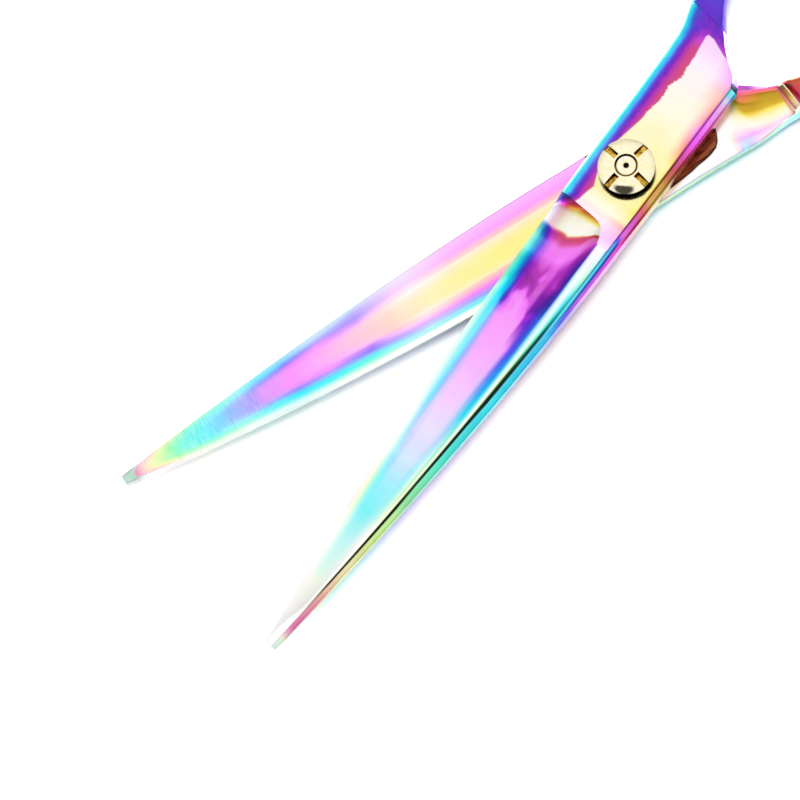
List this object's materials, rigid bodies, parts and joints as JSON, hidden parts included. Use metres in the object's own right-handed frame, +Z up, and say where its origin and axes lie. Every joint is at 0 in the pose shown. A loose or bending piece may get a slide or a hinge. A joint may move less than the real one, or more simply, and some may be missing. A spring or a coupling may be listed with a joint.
{
  "type": "hairdressing shears",
  "caption": "Plain-edged hairdressing shears, open, with offset finger rings, a slotted tension dial, soft ring inserts, a bumper and a screw-in finger rest.",
  "frame": {"origin": "on the pivot axis, on the flat underside that the shears lie on", "axes": "+Z up through the pivot towards the dial, +Y from the pivot towards the tips along the middle of the opening, +X completes the right-handed frame"},
  "size_m": [0.0988, 0.1598, 0.008],
  "materials": {
    "finger_blade_rainbow": "mirror polished, rainbow titanium coating",
    "thumb_blade_rainbow": "mirror polished, rainbow titanium coating",
    "finger_handle_rainbow": "mirror polished, rainbow titanium coating",
    "thumb_handle_rainbow": "mirror polished, rainbow titanium coating",
    "dial_gold": "polished gold",
    "lock_screw_gold": "polished gold",
    "stud_gold": "polished, gold coating",
    "bush_bronze": "turned bronze",
    "glide_plastic": "smooth white",
    "washer_steel": "spring steel",
    "click_steel": "stamped steel",
    "finger_insert_rubber": "soft matte",
    "thumb_insert_rubber": "soft matte",
    "bumper_rubber": "soft matte",
    "rest_rainbow": "mirror polished, rainbow titanium coating"
  },
  "bodies": {
    "finger_side": {"finger_blade": "finger_blade_rainbow", "finger_handle": "finger_handle_rainbow", "pivot_stud": "stud_gold", "lock_screw": "lock_screw_gold", "glide_ring": "glide_plastic", "spring_washer": "washer_steel", "click_plate": "click_steel", "finger_ring_insert": "finger_insert_rubber", "finger_rest": "rest_rainbow"},
    "thumb_side": {"thumb_blade": "thumb_blade_rainbow", "thumb_handle": "thumb_handle_rainbow", "pivot_bush": "bush_bronze", "thumb_ring_insert": "thumb_insert_rubber", "bumper": "bumper_rubber"},
    "dial": {"tension_dial": "dial_gold"}
  },
  "joints": [
    {"name": "blade_pivot", "type": "hinge", "parent": "finger_side", "child": "thumb_side", "pos_m": [0, 0, 0.003], "axis": [0, 0, 1], "range_deg": [-22.3, 117.7]},
    {"name": "dial_turn", "type": "hinge", "parent": "finger_side", "child": "dial", "pos_m": [0, 0, 0.007], "axis": [0, 0, 1], "range_deg": [-90, 240]}
  ]
}
